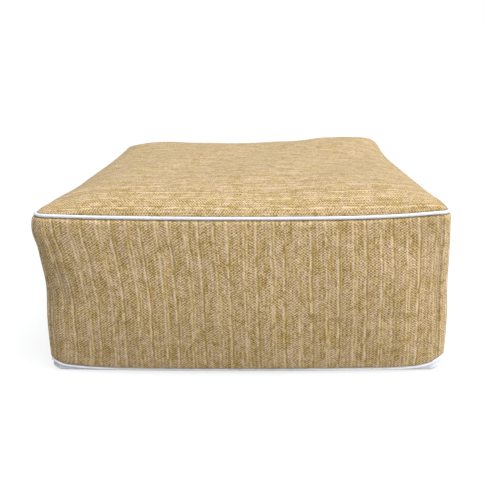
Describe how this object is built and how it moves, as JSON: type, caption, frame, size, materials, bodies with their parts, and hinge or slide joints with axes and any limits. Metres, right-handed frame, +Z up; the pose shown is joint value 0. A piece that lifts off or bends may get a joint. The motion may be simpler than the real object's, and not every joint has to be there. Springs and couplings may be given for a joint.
{
  "type": "inflatable pouf",
  "caption": "Square inflatable pouf: a boxed floor cushion in herringbone cloth with a crowned top, upright corner seams, piped edges and a plain base, to sit on or rest feet on.",
  "frame": {"origin": "middle of the face it rests on, on the floor", "axes": "+Z up, +X to the right as the front is faced, the front looks along -Y"},
  "size_m": [0.6092, 0.6056, 0.269],
  "materials": {
    "herringbone_cloth": "matte woven polyester, tan and olive herringbone in uneven stripes",
    "base_cloth": "matte plain-woven white polyester",
    "piping_cloth": "soft white covered cord"
  },
  "bodies": {
    "root": {"side_band": "herringbone_cloth", "top_panel": "herringbone_cloth", "base_panel": "base_cloth", "top_piping": "piping_cloth", "bottom_piping": "piping_cloth"}
  },
  "joints": []
}
